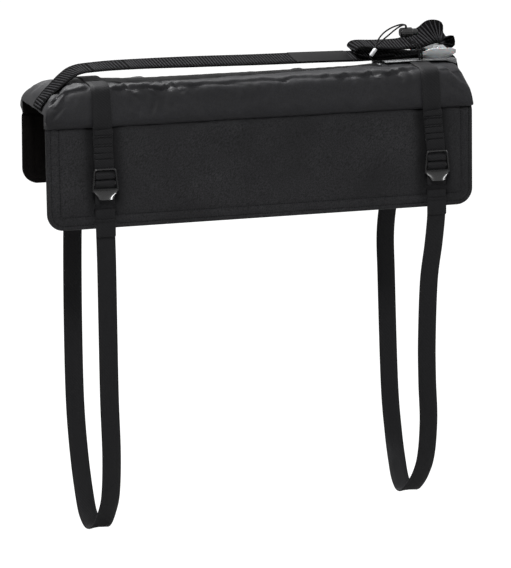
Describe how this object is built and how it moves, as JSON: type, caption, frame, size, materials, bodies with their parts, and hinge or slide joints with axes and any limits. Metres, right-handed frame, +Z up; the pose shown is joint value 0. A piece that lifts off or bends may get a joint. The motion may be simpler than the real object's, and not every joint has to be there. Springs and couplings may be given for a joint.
{
  "type": "tailgate pad",
  "caption": "Padded saddle for a truck tailgate, with two hanging strap loops closed by ladder locks and one wide strap with a cam buckle along its ridge.",
  "frame": {"origin": "centre of the channel's top face, which sits on the tailgate's upper edge", "axes": "+X along the pad towards the cam buckle, the long front flap faces -Y, +Z up"},
  "size_m": [0.5836, 0.1515, 0.6559],
  "materials": {
    "canvas": "matte black woven polyester",
    "ripstop": "black coated nylon with a low sheen",
    "lining": "dark nylon lining",
    "foam": "closed cell foam",
    "webbing": "black nylon webbing",
    "board_webbing": "black ribbed polyester webbing",
    "label": "bare woven satin patch",
    "elastic": "black braided elastic",
    "felt": "grey felt",
    "acetal": "satin black acetal",
    "silicone": "grey silicone rubber",
    "steel": "zinc plated",
    "zinc": "cast zinc, satin",
    "clip": "grey acetal"
  },
  "bodies": {
    "pad": {"channel_lining": "lining", "front_channel_side": "lining", "back_channel_side": "lining", "front_flap_panel": "canvas", "front_flap_foam": "foam", "front_flap_lining": "lining", "front_shoulder_foam": "foam", "back_flap_panel": "canvas", "back_flap_foam": "foam", "back_flap_lining": "lining", "back_shoulder_foam": "foam", "ridge_cover": "ripstop", "ridge_foam": "foam", "left_strap_over": "webbing", "left_chape": "webbing", "left_ladder_lock": "acetal", "left_loop_strap": "webbing", "left_keeper": "elastic", "right_strap_over": "webbing", "right_chape": "webbing", "right_ladder_lock": "acetal", "right_loop_strap": "webbing", "right_keeper": "elastic", "buckle_pad": "felt", "board_strap": "board_webbing", "strap_label": "label", "buckle_guard": "silicone", "buckle_frame": "steel", "lever_pin": "steel", "lever_spring": "steel", "anchor_webbing": "board_webbing", "cord_lock_barrel": "acetal", "cord_lock_spring": "steel", "elastic_rear_strand": "elastic", "elastic_front_strand": "elastic", "cord_clip": "clip", "clip_tether": "elastic", "tether_eyelet": "steel"},
    "cam_lever": {"buckle_lever": "zinc"},
    "plunger": {"cord_lock_plunger": "acetal"}
  },
  "joints": [
    {"name": "cam_lever_hinge", "type": "hinge", "parent": "pad", "child": "cam_lever", "pos_m": [0.262, 0.013, 0.05047], "axis": [0, -1, 0], "range_deg": [0, 13], "stiffness_Nm_per_rad": 0.12, "springref_deg": -34.38},
    {"name": "cord_lock_slide", "type": "slide", "parent": "pad", "child": "plunger", "axis": [-1, 0, 0], "range_m": [0, 0.002], "stiffness_N_per_m": 900, "springref_m": -0.002, "deforming": ["cord_lock_spring"]}
  ]
}
